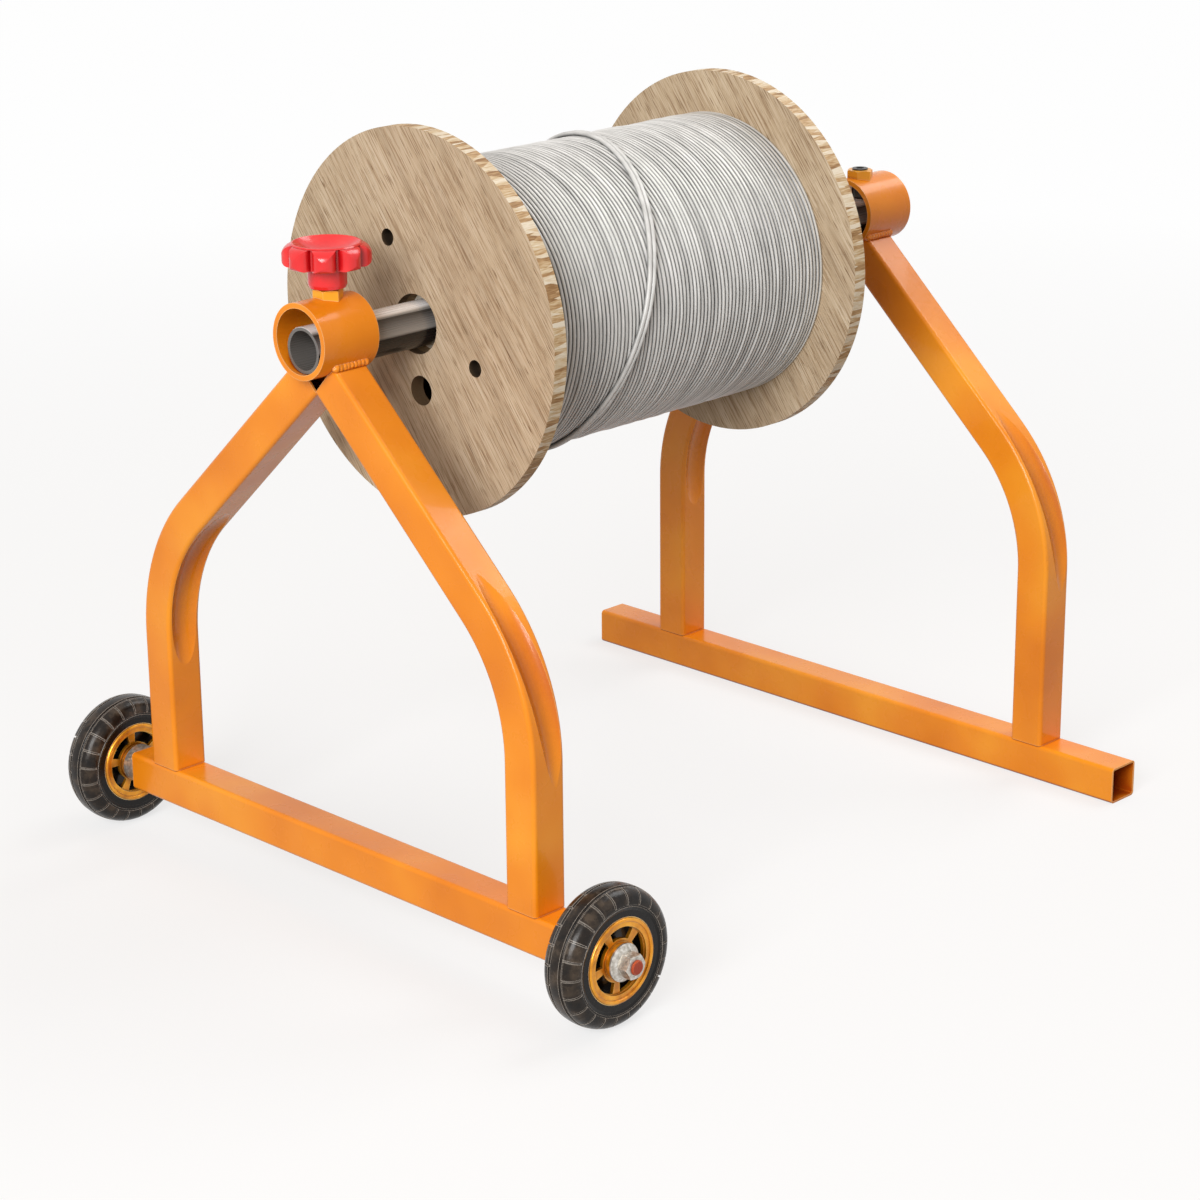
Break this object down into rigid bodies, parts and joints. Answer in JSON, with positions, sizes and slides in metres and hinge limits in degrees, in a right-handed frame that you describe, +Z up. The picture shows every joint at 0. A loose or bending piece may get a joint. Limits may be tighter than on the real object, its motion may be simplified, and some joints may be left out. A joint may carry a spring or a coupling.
{
  "type": "wire spool rack",
  "caption": "Free-standing rack of two bent-tube A-frames, one on wheels, joined by a pipe axle that carries a plywood spool of wound wire; a star knob locks the axle.",
  "frame": {"origin": "on the floor, halfway along the rack and halfway across it, under the axle", "axes": "+X along the axle from the wheeled frame to the plain frame, +Y across the frames towards the rear wheel, +Z up"},
  "size_m": [0.834, 0.754, 0.7312],
  "materials": {
    "frame_paint": "glossy orange powder coat",
    "nut_paint": "glossy yellow-orange powder coat over a welded nut",
    "stub_paint": "orange paint over a steel stub, worn on the thread",
    "zinc": "zinc plated, dull",
    "bearing_steel": "ground steel",
    "dark_steel": "dark oiled steel",
    "axle_steel": "drawn and polished steel pipe",
    "bush_plastic": "turned nylon",
    "tyre_rubber": "dark brown-black rubber with a moulded tread",
    "rim_paint": "gold paint",
    "knob_plastic": "glossy red moulded plastic",
    "plywood": "oak-faced plywood, edge showing the layers",
    "drum_board": "wound board tube",
    "wire_sheath": "pale grey smooth sheath"
  },
  "bodies": {
    "wheeled_frame": {"wheeled_base": "frame_paint", "wheeled_leg_front": "frame_paint", "wheeled_leg_rear": "frame_paint", "wheeled_collar": "frame_paint", "wheeled_lock_nut": "nut_paint", "wheeled_welds": "frame_paint", "stub_axle_front": "stub_paint", "stub_axle_rear": "stub_paint", "wheel_spacers": "zinc", "wheel_washers": "zinc", "wheel_nuts": "zinc"},
    "wheel_front": {"tyre_front": "tyre_rubber", "rim_front": "rim_paint", "bearings_front": "bearing_steel"},
    "wheel_rear": {"tyre_rear": "tyre_rubber", "rim_rear": "rim_paint", "bearings_rear": "bearing_steel"},
    "lock_screw": {"lock_stud": "dark_steel"},
    "lock_handle": {"lock_knob": "knob_plastic"},
    "axle_pipe": {"axle": "axle_steel"},
    "spool_hub": {"hub_bushes": "bush_plastic"},
    "spool": {"flange_near": "plywood", "flange_far": "plywood", "drum": "drum_board", "core_tube": "drum_board", "wound_wire": "wire_sheath", "crossover_wire": "wire_sheath"},
    "plain_frame": {"plain_base": "frame_paint", "plain_leg_front": "frame_paint", "plain_leg_rear": "frame_paint", "plain_collar": "frame_paint", "plain_lock_nut": "nut_paint", "plain_set_screw": "dark_steel", "plain_welds": "frame_paint"}
  },
  "joints": [
    {"name": "wheel_front_spin", "type": "hinge", "parent": "wheeled_frame", "child": "wheel_front", "pos_m": [-0.352, -0.339, 0.065], "axis": [0, 1, 0], "continuous": true},
    {"name": "wheel_rear_spin", "type": "hinge", "parent": "wheeled_frame", "child": "wheel_rear", "pos_m": [-0.352, 0.339, 0.065], "axis": [0, 1, 0], "continuous": true},
    {"name": "stud_travel", "type": "slide", "parent": "wheeled_frame", "child": "lock_screw", "axis": [0, 0, 1], "range_m": [0, 0.00601]},
    {"name": "knob_turn", "type": "hinge", "parent": "lock_screw", "child": "lock_handle", "pos_m": [-0.352, 0, 0.605], "axis": [0, 0, 1], "range_deg": [0, 1080]},
    {"name": "axle_slide", "type": "slide", "parent": "wheeled_frame", "child": "axle_pipe", "axis": [1, 0, 0], "range_m": [-0.04, 0]},
    {"name": "plain_frame_slide", "type": "slide", "parent": "axle_pipe", "child": "plain_frame", "axis": [1, 0, 0], "range_m": [-0.08, 0]},
    {"name": "spool_slide", "type": "slide", "parent": "axle_pipe", "child": "spool_hub", "axis": [1, 0, 0], "range_m": [-0.02, 0.06]},
    {"name": "spool_spin", "type": "hinge", "parent": "spool_hub", "child": "spool", "pos_m": [-0.039, 0, 0.55125], "axis": [1, 0, 0], "continuous": true}
  ],
  "couplings": [
    {"joint": "stud_travel", "follows": "knob_turn", "m_per_rad": 0.00031831}
  ]
}
